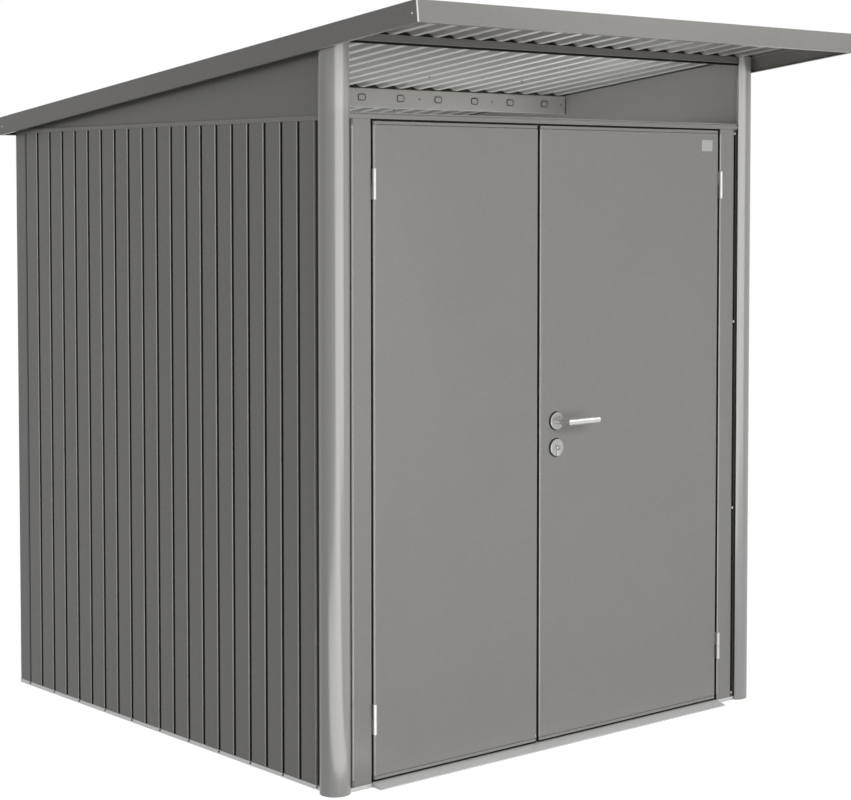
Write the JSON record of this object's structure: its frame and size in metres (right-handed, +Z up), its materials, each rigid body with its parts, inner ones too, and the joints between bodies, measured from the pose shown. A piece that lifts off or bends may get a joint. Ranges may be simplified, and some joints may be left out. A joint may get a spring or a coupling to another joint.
{
  "type": "metal tool shed",
  "caption": "Metal tool shed with grooved sheet walls, half-round front posts, a mono-pitch roof with a deep fascia, a clear transom and unequal hinged doors with a lever lock.",
  "frame": {"origin": "on the ground under the middle of the roof's plan", "axes": "+Z up, the doors face -Y, +X to the right of someone who faces the doors"},
  "size_m": [1.8, 2.2166, 2.1845],
  "materials": {
    "painted_sheet": "fine textured warm grey metallic coating on folded sheet",
    "roof_sheet": "coated trapezoid sheet, lighter underneath",
    "beam_metal": "grey coated steel section",
    "post_metal": "satin coated half-round aluminium tube",
    "alloy_profile": "bare extruded aluminium",
    "hardware": "satin stainless steel",
    "lock_steel": "zinc plated steel",
    "clear_pane": "clear acrylic sheet"
  },
  "bodies": {
    "shell": {"base_rail_left": "alloy_profile", "base_rail_right": "alloy_profile", "base_rail_rear": "alloy_profile", "base_rail_front_left": "alloy_profile", "base_rail_front_right": "alloy_profile", "door_sill": "alloy_profile", "corner_post_left": "post_metal", "corner_post_right": "post_metal", "rear_corner_left": "painted_sheet", "rear_corner_right": "painted_sheet", "left_wall_panels": "painted_sheet", "right_wall_panels": "painted_sheet", "rear_wall_panels": "painted_sheet", "left_wall_cap": "painted_sheet", "right_wall_cap": "painted_sheet", "rear_wall_cap": "painted_sheet", "left_gable": "painted_sheet", "right_gable": "painted_sheet", "rear_roof_beam": "beam_metal", "mid_roof_beam": "beam_metal", "front_roof_beam": "beam_metal", "front_panel_left": "painted_sheet", "front_panel_right": "painted_sheet", "door_head_rail": "painted_sheet", "transom_pane": "clear_pane", "roof_sheets": "roof_sheet", "fascia_front": "painted_sheet", "fascia_left": "painted_sheet", "fascia_right": "painted_sheet", "fascia_rear": "painted_sheet", "frame_hinges_left": "hardware", "frame_hinges_right": "hardware"},
    "left_door": {"door_left_skin": "painted_sheet", "door_left_rims": "painted_sheet", "door_left_stiffeners": "beam_metal", "door_left_hinges": "hardware"},
    "right_door": {"door_right_skin": "painted_sheet", "door_right_rims": "painted_sheet", "door_right_stiffeners": "beam_metal", "door_right_hinges": "hardware", "lock_case": "lock_steel", "lock_cylinder": "hardware", "handle_roses": "hardware", "key_roses": "hardware"},
    "lever": {"lever_handle": "hardware"}
  },
  "joints": [
    {"name": "left_door_hinge", "type": "hinge", "parent": "shell", "child": "left_door", "pos_m": [-0.72484, -0.71067, 1], "axis": [0, 0, -1], "range_deg": [0, 105]},
    {"name": "right_door_hinge", "type": "hinge", "parent": "shell", "child": "right_door", "pos_m": [0.72484, -0.71067, 1], "axis": [0, 0, 1], "range_deg": [0, 105]},
    {"name": "lever_turn", "type": "hinge", "parent": "right_door", "child": "lever", "pos_m": [-0.01125, -0.7, 0.991], "axis": [0, 1, 0], "range_deg": [0, 40], "stiffness_Nm_per_rad": 1.5, "springref_deg": -34.38}
  ]
}
